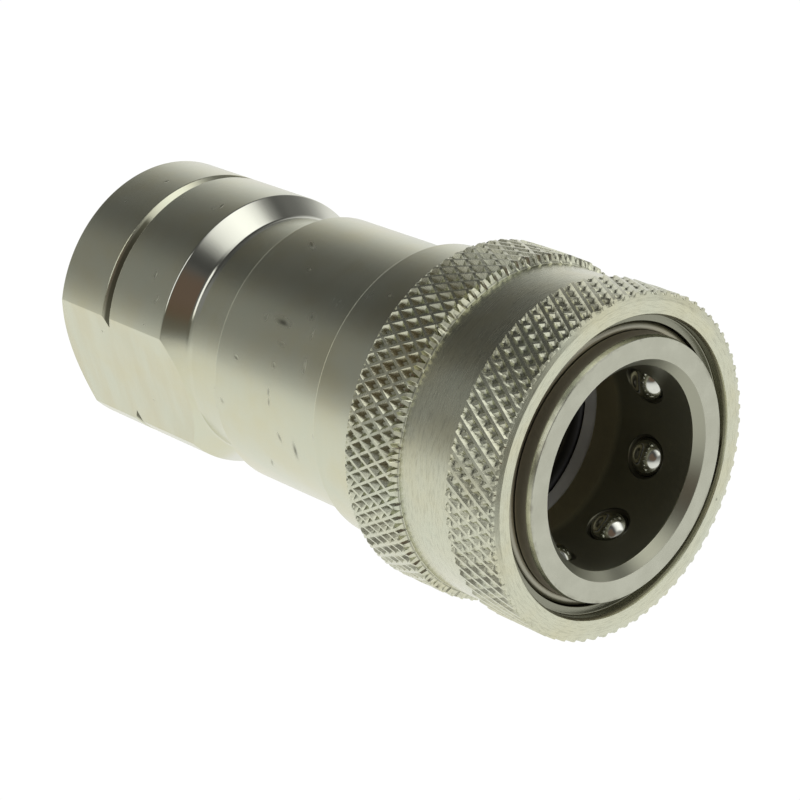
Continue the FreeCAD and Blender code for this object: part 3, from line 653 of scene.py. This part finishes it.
# --------------------------------------------------------------------------
# springs: closed and ground ends
# --------------------------------------------------------------------------
def spring(name, R, w, za, zb, free, seg=16, per=48):
    total = free + 2.0
    lead = 2.0 * w * 1.02
    climb = (zb - za) - 2.0 * lead
    n = int(round(total * per))
    hs, h = [0.0], 0.0
    for i in range(1, n + 1):
        q = (i - 0.5) * total / n
        s = min(max((q - 0.75) / 0.5, 0.0), 1.0)
        e = min(max((total - q - 0.75) / 0.5, 0.0), 1.0)
        k = min(s, e)
        k = k * k * (3 - 2 * k)
        h += (lead + (climb / free - lead) * k) * total / n
        hs.append(h)
    sc = (zb - za) / hs[-1]
    t = Build()
    rings = []
    for i in range(n + 1):
        a = TAU * i * total / n
        z = za + hs[i] * sc
        base = len(t.v)
        for j in range(seg):
            q = TAU * j / seg
            r_ = R + w * math.cos(q)
            zz = min(max(z + w * math.sin(q), za), zb)
            t.v.append((r_ * math.cos(a), r_ * math.sin(a), zz))
        rings.append(list(range(base, base + seg)))
    for i in range(n):
        t.bridge(rings[i], rings[i + 1])
    t.f.append(tuple(rings[0]))
    t.f.append(tuple(reversed(rings[-1])))
    return put(name, t.mesh(name), 50.0)


spring_a = spring("sleeve_spring_wire", 13.72, 0.60, 47.55, 58.35, 2.50)
spring_b = spring("poppet_spring_wire", 5.60, 0.50, 33.05, 42.95, 2.75)


# --------------------------------------------------------------------------
# materials
# --------------------------------------------------------------------------
class Nodes:
    def __init__(self, tree):
        self.t = tree
        self.n = tree.nodes
        self.l = tree.links

    def add(self, kind, **props):
        nd = self.n.new(kind)
        for k, v in props.items():
            setattr(nd, k, v)
        return nd

    def link(self, a, b):
        self.l.new(a, b)

    def math(self, op, a, b=None, clamp=False):
        nd = self.add("ShaderNodeMath", operation=op, use_clamp=clamp)
        for i, x in enumerate((a, b)):
            if x is None:
                continue
            if isinstance(x, (int, float)):
                nd.inputs[i].default_value = x
            else:
                self.link(x, nd.inputs[i])
        return nd.outputs[0]

    def ramp(self, fac, stops, interp="LINEAR"):
        nd = self.add("ShaderNodeValToRGB")
        nd.color_ramp.interpolation = interp
        el = nd.color_ramp.elements
        while len(el) > 1:
            el.remove(el[-1])
        for i, (p, c) in enumerate(stops):
            e = el[0] if i == 0 else el.new(p)
            e.position = p
            c = (c, c, c) if isinstance(c, (int, float)) else c
            e.color = (c[0], c[1], c[2], 1.0)
        self.link(fac, nd.inputs[0])
        return nd.outputs[0]

    def step(self, x, a, b, lo=0.0, hi=1.0):
        nd = self.add("ShaderNodeMapRange", interpolation_type="SMOOTHSTEP")
        self.link(x, nd.inputs[0])
        for i, v in zip((1, 2, 3, 4), (a, b, lo, hi)):
            nd.inputs[i].default_value = v
        return nd.outputs[0]

    def mix(self, fac, a, b, mode="MIX"):
        nd = self.add("ShaderNodeMix", data_type="RGBA", blend_type=mode)
        for s, x in ((nd.inputs[0], fac), (nd.inputs[6], a), (nd.inputs[7], b)):
            if isinstance(x, (int, float)):
                s.default_value = x
            elif isinstance(x, tuple):
                s.default_value = (x[0], x[1], x[2], 1.0)
            else:
                self.link(x, s)
        return nd.outputs[2]

    def noise(self, vec, scale, detail=3.0, rough=0.55, dim="3D"):
        nd = self.add("ShaderNodeTexNoise", noise_dimensions=dim)
        self.link(vec, nd.inputs["Vector"])
        nd.inputs["Scale"].default_value = scale
        nd.inputs["Detail"].default_value = detail
        nd.inputs["Roughness"].default_value = rough
        return nd.outputs[0]


def metal(name, color, rough, turn=1.0, stain=1.0, aniso=0.0, pits=1.0, dark_bore=False, brushed=0.0, knurl_dust_and_shade=(), lip=False, rear=False,
          warm=(1.0, 0.97, 0.90), cool=(0.97, 1.0, 1.03)):
    """Turned steel: fine tool lines around the axis, faint handling stains,
    scattered pits and a little change of gloss."""
    mat = bpy.data.materials.new(name)
    mat.use_nodes = True
    g = Nodes(mat.node_tree)
    bsdf = g.n["Principled BSDF"]
    bsdf.inputs["Metallic"].default_value = 1.0
    bsdf.inputs["Anisotropic"].default_value = aniso
    tc = g.add("ShaderNodeTexCoord")
    sep = g.add("ShaderNodeSeparateXYZ")
    g.link(tc.outputs["Object"], sep.inputs[0])
    x, y, z = sep.outputs
    z = g.math("SUBTRACT", z, REAR * MM)
    rad = g.math("SQRT", g.math("ADD", g.math("MULTIPLY", x, x), g.math("MULTIPLY", y, y)))
    safe = g.math("MAXIMUM", rad, 1e-5)
    cx, cy = g.math("DIVIDE", x, safe), g.math("DIVIDE", y, safe)
    # tool lines: nearly constant around the axis, quick change along z and r
    lane = g.math("MULTIPLY", g.math("ADD", z, g.math("MULTIPLY", rad, 1.31)), 9000.0)
    comb = g.add("ShaderNodeCombineXYZ")
    g.link(g.math("MULTIPLY", cx, 2.6), comb.inputs[0])
    g.link(g.math("MULTIPLY", cy, 2.6), comb.inputs[1])
    g.link(lane, comb.inputs[2])
    lines = g.noise(comb.outputs[0], 1.0, 4.0, 0.65)
    # broken brush strokes: shorter around the axis
    comb2 = g.add("ShaderNodeCombineXYZ")
    g.link(g.math("MULTIPLY", cx, 14.0), comb2.inputs[0])
    g.link(g.math("MULTIPLY", cy, 14.0), comb2.inputs[1])
    g.link(g.math("MULTIPLY", lane, 0.75), comb2.inputs[2])
    strokes = g.noise(comb2.outputs[0], 1.0, 3.0, 0.6)
    blotch = g.noise(tc.outputs["Object"], 170.0, 4.0, 0.6)
    fine = g.noise(tc.outputs["Object"], 2600.0, 3.0, 0.6)
    # colour
    tint = g.ramp(blotch, [(0.30, tuple(a * b for a, b in zip(color, warm))), (0.52, color),
                           (0.75, tuple(a * b for a, b in zip(color, cool)))])
    val = g.math("ADD", 1.0 - 0.035 * turn, g.math("MULTIPLY", lines, 0.07 * turn))
    col = g.mix(1.0, tint, val, "MULTIPLY")
    if brushed:
        sv = g.ramp(strokes, [(0.36, 1.0 - 0.16 * brushed), (0.50, 1.0), (0.66, 1.0 + 0.0 * brushed)])
        col = g.mix(1.0, col, sv, "MULTIPLY")
    vor = g.add("ShaderNodeTexVoronoi", feature="F1")
    g.link(tc.outputs["Object"], vor.inputs["Vector"])
    vor.inputs["Scale"].default_value = 420.0
    spot = g.ramp(vor.outputs["Distance"], [(0.035, 0.0), (0.075, 1.0)])
    keep = g.math("GREATER_THAN", g.noise(tc.outputs["Object"], 330.0, 1.0), 0.60)
    pit = g.math("MULTIPLY", g.math("SUBTRACT", 1.0, spot), keep)
    col = g.mix(g.math("MULTIPLY", pit, 0.45 * pits), col, tuple(0.35 * c for c in color))
    # painted shade in the dents, from the per-vertex value that dent() writes
    at_ = g.add("ShaderNodeAttribute", attribute_name="dent_shade")
    dent_shade = at_.outputs["Fac"]
    col = g.mix(g.math("MULTIPLY", dent_shade, 0.85, clamp=True), col, tuple(0.20 * c for c in color))
    if dark_bore:
        # painted shade: the socket wall in the bore is darkened, with a lighter band deeper down at the seal land;
        # duller nose face
        bore_shade = g.math("MULTIPLY", g.step(rad, 0.00985, 0.00968), g.step(z, 0.06545, 0.06525))
        bore_shade = g.math("MULTIPLY", bore_shade, g.step(z, 0.0478, 0.0484))
        wall = g.ramp(g.math("MULTIPLY", g.math("SUBTRACT", z, 0.050), 62.5),
                      [(0.0, (0.50, 0.465, 0.33)), (0.37, (0.50, 0.465, 0.33)), (0.42, (0.285, 0.28, 0.205)), (1.0, (0.295, 0.29, 0.215))])
        col = g.mix(bore_shade, col, wall)
        # dull mouth bevel, nose face and its rubbed rim
        bevel = g.math("MULTIPLY", g.step(rad, 0.01050, 0.01042), g.step(z, 0.06540, 0.06550))
        col = g.mix(bevel, col, tuple(0.55 * c for c in color))
        face = g.math("MULTIPLY", g.step(z, 0.06615, 0.06626), g.step(rad, 0.0104, 0.01048))
        worn = g.ramp(g.noise(tc.outputs["Object"], 260.0, 5.0, 0.62), [(0.34, (0.438, 0.442, 0.355)), (0.50, (0.462, 0.467, 0.378)),
                                                                       (0.64, (0.492, 0.497, 0.405))])
        col = g.mix(face, col, worn)
        rub = g.ramp(g.noise(tc.outputs["Object"], 620.0, 4.0, 0.62), [(0.47, 0.0), (0.62, 0.42)])
        rub = g.math("MULTIPLY", rub, g.step(rad, 0.01205, 0.01240))
        col = g.mix(g.math("MULTIPLY", rub, g.step(z, 0.0650, 0.0655)), col, (0.20, 0.185, 0.14))
        # grimy side of the nose and the ring groove
        side = g.math("MULTIPLY", g.step(rad, 0.0118, 0.0120), g.math("MULTIPLY", g.step(z, 0.06582, 0.06566), g.step(z, 0.0470, 0.0480)))
        col = g.mix(g.math("MULTIPLY", side, 0.92), col, (0.46, 0.41, 0.32))
        # painted shade: darkens the walls of the ball holes
        hole_shade = g.math("MULTIPLY", g.math("MULTIPLY", g.step(rad, 0.00968, 0.00976), g.step(rad, 0.0126, 0.0125)),
                      g.math("MULTIPLY", g.step(z, 0.0578, 0.0580), g.step(z, 0.0627, 0.0625)))
        col = g.mix(hole_shade, col, (0.14, 0.135, 0.10))
    for za, zb, crest, deep, most in knurl_dust_and_shade:
        # dust deep in the knurl pits, also painted shade: the deeper the pit, the darker
        zone = g.math("MULTIPLY", g.step(z, za, za + 0.0002), g.step(z, zb, zb - 0.0002))
        pit_dust_and_shade = g.ramp(g.math("MULTIPLY", g.math("SUBTRACT", crest, rad), 1.0 / deep),
                     [(0.35, 0.0), (0.75, 0.25 * most), (0.97, most)])
        col = g.mix(g.math("MULTIPLY", zone, pit_dust_and_shade), col, tuple(0.16 * c for c in color))
    if lip:
        # painted shade where the rear knurl meets the plain band
        seam_shade = g.math("MULTIPLY", g.math("MULTIPLY", g.step(z, 0.05322, 0.05328), g.step(z, 0.05340, 0.05336)), g.step(rad, 0.01602, 0.01606))
        col = g.mix(g.math("MULTIPLY", seam_shade, 0.50), col, tuple(0.18 * c for c in color))
        # painted shade on the counterbore wall inside the sleeve mouth
        inner = g.math("MULTIPLY", g.step(rad, 0.01442, 0.01436), g.step(z, 0.06550, 0.06535))
        col = g.mix(g.math("MULTIPLY", inner, 0.9), col, tuple(0.40 * c for c in color))
        # painted shade on the counterbore floor behind the retaining ring
        floor = g.math("MULTIPLY", g.step(rad, 0.01420, 0.01412), g.step(z, 0.06465, 0.06450))
        col = g.mix(g.math("MULTIPLY", floor, 0.95), col, tuple(0.42 * c for c in color))
    if rear:
        # painted shade in the vee groove on one side, painted highlight on one side of the neck cone, wiped stains on
        # the flats
        vee_shade = g.math("MULTIPLY", g.step(z, 0.0069, 0.0071), g.step(z, 0.0083, 0.0081))
        vee_shade = g.math("MULTIPLY", vee_shade, g.step(rad, 0.01404, 0.01384))
        vee_shade = g.math("MULTIPLY", vee_shade, g.step(cx, -0.22, -0.30))
        cone_highlight = g.math("MULTIPLY", g.step(z, 0.01620, 0.01635), g.step(z, 0.01950, 0.01925))
        off = g.math("ABSOLUTE", g.math("ADD", g.math("MULTIPLY", x, -0.99936), g.math("MULTIPLY", y, 0.03577)))
        flat = g.step(off, 0.012545, 0.012552)
        cone_highlight = g.math("MULTIPLY", cone_highlight, g.math("SUBTRACT", 1.0, flat))
        vee_shade = g.math("MULTIPLY", vee_shade, g.math("SUBTRACT", 1.0, flat))
        # painted shade: darkens the vee groove on one side
        col = g.mix(g.math("MULTIPLY", vee_shade, 0.85), col, (0.075, 0.072, 0.042))
        # painted highlight: lightens one side of the neck cone
        col = g.mix(g.math("MULTIPLY", cone_highlight, g.step(cx, -0.78, -0.66)), col, (0.675, 0.68, 0.59))
        comb3 = g.add("ShaderNodeCombineXYZ")
        g.link(g.math("MULTIPLY", y, 70.0), comb3.inputs[0])
        g.link(g.math("MULTIPLY", z, 330.0), comb3.inputs[2])
        wipe = g.ramp(g.noise(comb3.outputs[0], 1.0, 3.0, 0.5), [(0.42, 0.0), (0.62, 1.0)])
        col = g.mix(g.math("MULTIPLY", g.math("MULTIPLY", flat, wipe), 0.38), col, tuple(a * b for a, b in zip(color, (0.92, 0.84, 0.72))))
    g.link(col, bsdf.inputs["Base Color"])
    # gloss
    ro = g.math("ADD", rough - 0.05, g.math("MULTIPLY", blotch, 0.06 * stain))
    ro = g.math("ADD", ro, g.math("MULTIPLY", lines, 0.05 * turn))
    ro = g.math("ADD", ro, g.math("MULTIPLY", pit, 0.2))
    ro = g.math("ADD", ro, g.math("MULTIPLY", dent_shade, 0.2))
    if dark_bore:
        ro = g.math("ADD", ro, g.math("MULTIPLY", bore_shade, 0.20))
        ro = g.math("ADD", ro, g.math("MULTIPLY", hole_shade, 0.30))
        ro = g.math("ADD", ro, g.math("MULTIPLY", bevel, 0.08))
        ro = g.math("ADD", ro, g.math("MULTIPLY", side, 0.30))
    if rear:
        ro = g.math("SUBTRACT", ro, g.math("MULTIPLY", cone_highlight, 0.11))
        ro = g.math("ADD", ro, g.math("MULTIPLY", vee_shade, 0.15))
    g.link(ro, bsdf.inputs["Roughness"])
    # relief of the tool lines
    hgt = g.math("ADD", g.math("MULTIPLY", lines, 0.8 * turn), g.math("MULTIPLY", fine, 0.25))
    if brushed:
        hgt = g.math("ADD", hgt, g.math("MULTIPLY", strokes, 1.6 * brushed))
    hgt = g.math("SUBTRACT", hgt, g.math("MULTIPLY", pit, 1.2))
    bump = g.add("ShaderNodeBump")
    bump.inputs["Strength"].default_value = 0.35
    bump.inputs["Distance"].default_value = 0.000012
    g.link(hgt, bump.inputs["Height"])
    g.link(bump.outputs[0], bsdf.inputs["Normal"])
    if aniso:
        tan = g.add("ShaderNodeTangent", direction_type="RADIAL", axis="Z")
        g.link(tan.outputs[0], bsdf.inputs["Tangent"])
    return mat


STEEL = (0.624, 0.628, 0.482)
mat_body = metal("body_steel_satin", STEEL, 0.25, dark_bore=True)
mat_adapter = metal("adapter_steel_satin", STEEL, 0.24, rear=True)
mat_sleeve = metal("sleeve_steel_turned", STEEL, 0.25, turn=1.5, brushed=1.0, lip=True,
                   knurl_dust_and_shade=((0.0470, 0.0530, 0.01680, 0.00050, 0.20), (0.0597, 0.06525, 0.01650, 0.00042, 0.36)))
mat_wire = metal("wire_steel_drawn", (0.36, 0.35, 0.275), 0.36, turn=0.6)
mat_valve = metal("valve_steel_dark", (0.20, 0.19, 0.165), 0.34, turn=1.2)


def polished(name):
    mat = bpy.data.materials.new(name)
    mat.use_nodes = True
    g = Nodes(mat.node_tree)
    b = g.n["Principled BSDF"]
    b.inputs["Metallic"].default_value = 1.0
    tc = g.add("ShaderNodeTexCoord")
    n1 = g.noise(tc.outputs["Object"], 500.0, 3.0)
    n2 = g.noise(tc.outputs["Object"], 3000.0, 2.0)
    g.link(g.ramp(n1, [(0.35, (0.62, 0.63, 0.56)), (0.65, (0.70, 0.71, 0.64))]), b.inputs["Base Color"])
    g.link(g.math("ADD", 0.09, g.math("MULTIPLY", n2, 0.08)), b.inputs["Roughness"])
    bump = g.add("ShaderNodeBump")
    bump.inputs["Strength"].default_value = 0.25
    bump.inputs["Distance"].default_value = 0.00001
    g.link(n2, bump.inputs["Height"])
    g.link(bump.outputs[0], b.inputs["Normal"])
    return mat


def dull(name, dark, light, rough, scale, spec=0.4):
    mat = bpy.data.materials.new(name)
    mat.use_nodes = True
    g = Nodes(mat.node_tree)
    b = g.n["Principled BSDF"]
    b.inputs["Metallic"].default_value = 0.0
    b.inputs["Specular IOR Level"].default_value = spec
    tc = g.add("ShaderNodeTexCoord")
    n1 = g.noise(tc.outputs["Object"], scale, 4.0)
    n2 = g.noise(tc.outputs["Object"], scale * 9, 3.0)
    g.link(g.ramp(n1, [(0.35, dark), (0.65, light)]), b.inputs["Base Color"])
    g.link(g.math("ADD", rough - 0.06, g.math("MULTIPLY", n2, 0.12)), b.inputs["Roughness"])
    bump = g.add("ShaderNodeBump")
    bump.inputs["Strength"].default_value = 0.3
    bump.inputs["Distance"].default_value = 0.00002
    g.link(n2, bump.inputs["Height"])
    g.link(bump.outputs[0], b.inputs["Normal"])
    return mat


mat_ball = polished("ball_steel_polished")
mat_rubber = dull("seal_rubber_black", (0.012, 0.012, 0.012), (0.020, 0.020, 0.019), 0.42, 300.0)
mat_ptfe = dull("ptfe_off_white", (0.58, 0.58, 0.58), (0.67, 0.67, 0.665), 0.45, 260.0)


def dress(ob, mat):
    ob.data.materials.clear()
    ob.data.materials.append(mat)


# --------------------------------------------------------------------------
# who rides on what
# --------------------------------------------------------------------------
def place(ob, mat, bodyname, node):
    dress(ob, mat)
    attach(ob, bodyname)
    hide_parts(node)


place(adapter, mat_adapter, "coupler_body", "rear_adapter")
place(body, mat_body, "coupler_body", "front_body")
place(sleeve, mat_sleeve, "sleeve", "locking_sleeve")
place(ring, mat_wire, "ring", "retaining_ring")
place(poppet, mat_valve, "valve", "poppet")
place(seal_a, mat_rubber, "coupler_body", "socket_seal")
place(seal_b, mat_rubber, "valve", "poppet_seal")
place(seal_c, mat_rubber, "coupler_body", "joint_seal")
place(backup, mat_ptfe, "coupler_body", "backup_ring")
for kk, b_ in enumerate(balls):
    place(b_, mat_ball, "ball_%d" % (kk + 1), "locking_ball_%d" % (kk + 1))
place(spring_a, mat_wire, "coupler_body", "sleeve_spring")
place(spring_b, mat_wire, "coupler_body", "poppet_spring")
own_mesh(spring_a)
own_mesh(spring_b)
dress(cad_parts["poppet_guide"], mat_valve)

# --------------------------------------------------------------------------
# stage: white surround, soft studio light
# --------------------------------------------------------------------------
def plain(name, color, emit):
    mat = bpy.data.materials.new(name)
    mat.use_nodes = True
    b = mat.node_tree.nodes["Principled BSDF"]
    b.inputs["Base Color"].default_value = (color, color, color, 1)
    b.inputs["Roughness"].default_value = 1.0
    b.inputs["Specular IOR Level"].default_value = 0.0
    b.inputs["Emission Color"].default_value = (1, 1, 1, 1)
    b.inputs["Emission Strength"].default_value = emit
    return mat


bm = bmesh.new()
bmesh.ops.create_uvsphere(bm, u_segments=48, v_segments=24, radius=3.0)
bmesh.ops.reverse_faces(bm, faces=bm.faces)
me = bpy.data.meshes.new("surround")
bm.to_mesh(me)
bm.free()
surround = bpy.data.objects.new("surround", me)
bpy.context.scene.collection.objects.link(surround)
dress(surround, plain("surround_white", 0.0, 1.02))
for flag in ("visible_glossy", "visible_diffuse", "visible_transmission", "visible_shadow", "visible_volume_scatter"):
    setattr(surround, flag, False)

# studio light around the coupler, fixed in its frame: the coupler lies on a
# pale table, a soft box hangs over it, a strip light stands to the left, a
# pale sweep closes the rear and the camera side of the room is dark
world = bpy.data.worlds.new("studio")
bpy.context.scene.world = world
world.use_nodes = True
g = Nodes(world.node_tree)
bg = g.n["Background"]
tc = g.add("ShaderNodeTexCoord")


def along(x, y, z, room=False):
    """Cosine between a direction and the sight line; room gives it as away
    from the table, across and towards the mouth."""
    if room:
        x, y = 0.328 * x + 0.945 * y, 0.945 * x - 0.328 * y
    nd = g.add("ShaderNodeVectorMath", operation="DOT_PRODUCT")
    g.link(tc.outputs["Generated"], nd.inputs[0])
    nd.inputs[1].default_value = (x, y, z)
    return nd.outputs["Value"]


du = along(0.328, 0.945, 0.0)        # away from the table
ds = along(0.945, -0.328, 0.0)       # across
dw = along(0.0, 0.0, 1.0)            # towards the mouth


def tone(x, stops):
    """Ramp over a direction cosine, -1..1."""
    half = g.math("ADD", g.math("MULTIPLY", x, 0.5), 0.5)
    return g.ramp(half, [(0.5 + 0.5 * q, c) for q, c in stops])


back_left = tone(du, [(-1.0, 1.0), (-0.45, 0.95), (-0.23, 0.87), (-0.18, 0.82), (-0.135, 0.71), (-0.09, 0.57), (-0.04, 0.49),
                      (0.06, 0.35), (0.20, 0.25), (0.46, 0.245), (0.53, 0.215), (0.59, 0.13), (0.65, 0.07), (1.0, 0.06)])
back_right = tone(du, [(-1.0, 1.0), (-0.2, 0.98), (0.12, 0.95), (0.23, 0.86), (0.32, 0.69), (0.405, 0.54), (0.48, 0.40), (0.55, 0.27),
                       (0.61, 0.18), (0.65, 0.12), (0.70, 0.08), (1.0, 0.06)])
front_left = tone(du, [(-1.0, 1.0), (-0.45, 0.95), (-0.20, 0.84), (-0.10, 0.60), (-0.03, 0.28), (0.06, (0.16, 0.150, 0.135)),
                       (0.14, (0.14, 0.130, 0.115)), (0.34, (0.14, 0.130, 0.115)), (0.46, 0.13), (0.70, 0.10), (1.0, 0.10)])
front_right = tone(du, [(-1.0, 1.0), (-0.30, 0.96), (-0.10, 0.85), (0.10, 0.45), (0.30, 0.24), (0.60, 0.17), (1.0, 0.14)])
rear_half = g.mix(g.step(ds, -0.10, 0.10), back_left, back_right)
front_half = g.mix(g.step(ds, -0.15, 0.30), front_left, front_right)
front_mid = tone(du, [(-1.0, 1.0), (-0.30, 0.95), (-0.10, 0.72), (0.10, 0.40), (0.30, 0.25), (1.0, 0.18)])
front_half = g.mix(g.step(dw, 0.70, 0.90), front_half, front_mid)
# pale wall to the right of the mouth, dark gap in front of it
front_half = g.mix(g.math("MULTIPLY", g.step(ds, 0.38, 0.52), g.math("MULTIPLY", g.step(dw, 0.58, 0.70), g.step(du, 0.30, 0.12))), front_half, (1.04, 1.04, 1.04))
front_half = g.mix(g.step(along(-0.196, 0.291, 0.9363, True), 0.9400, 0.9840), front_half, (0.14, 0.14, 0.13))
# brown clothing beside the lens, a small lamp to the right
front_half = g.mix(g.step(along(0.373, -0.632, 0.679, True), 0.912, 0.955), front_half, (0.145, 0.102, 0.078))
lamp = g.math("MULTIPLY", g.step(ds, 0.79, 0.87), g.math("MULTIPLY", g.step(dw, 0.10, 0.20), g.step(dw, 0.56, 0.46)))
front_half = g.mix(g.math("MULTIPLY", lamp, g.math("MULTIPLY", g.step(du, 0.0, 0.10), g.step(du, 0.58, 0.48))), front_half, (1.2, 1.2, 1.2))
env = g.mix(g.step(dw, -0.32, 0.05), rear_half, front_half)
# soft box overhead
box = tone(ds, [(-1.0, 0.06), (-0.47, 0.06), (-0.36, 0.10), (-0.25, 0.46), (-0.14, 0.98), (0.0, 1.28), (0.17, 1.50), (0.32, 1.45),
                (0.44, 1.10), (0.56, 0.36), (0.66, 0.12), (1.0, 0.12)])
mask = g.math("MULTIPLY", g.step(dw, -0.33, -0.17), g.step(dw, 0.94, 0.82))
mask = g.math("MULTIPLY", mask, g.step(du, 0.25, 0.45))
mask = g.math("MULTIPLY", mask, g.math("MULTIPLY", g.step(ds, -0.56, -0.46), g.step(ds, 0.78, 0.68)))
env = g.mix(mask, env, box)
# strip light on the left
strip = g.math("MULTIPLY", g.step(dw, -0.38, -0.28), g.step(dw, 0.16, 0.04))
strip = g.math("MULTIPLY", strip, g.math("MULTIPLY", g.step(ds, -0.46, -0.55), g.step(du, 0.24, 0.36)))
env = g.mix(strip, env, (1.30, 1.30, 1.30))
# pale sweep behind the coupler
env = g.mix(g.math("MULTIPLY", g.step(dw, -0.86, -0.95), g.step(du, 0.45, 0.15)), env, (1.08, 1.08, 1.08))
g.link(env, bg.inputs["Color"])
bg.inputs["Strength"].default_value = 1.0

bpy.context.scene.view_settings.view_transform = "Standard"
bpy.context.scene.view_settings.look = "None"
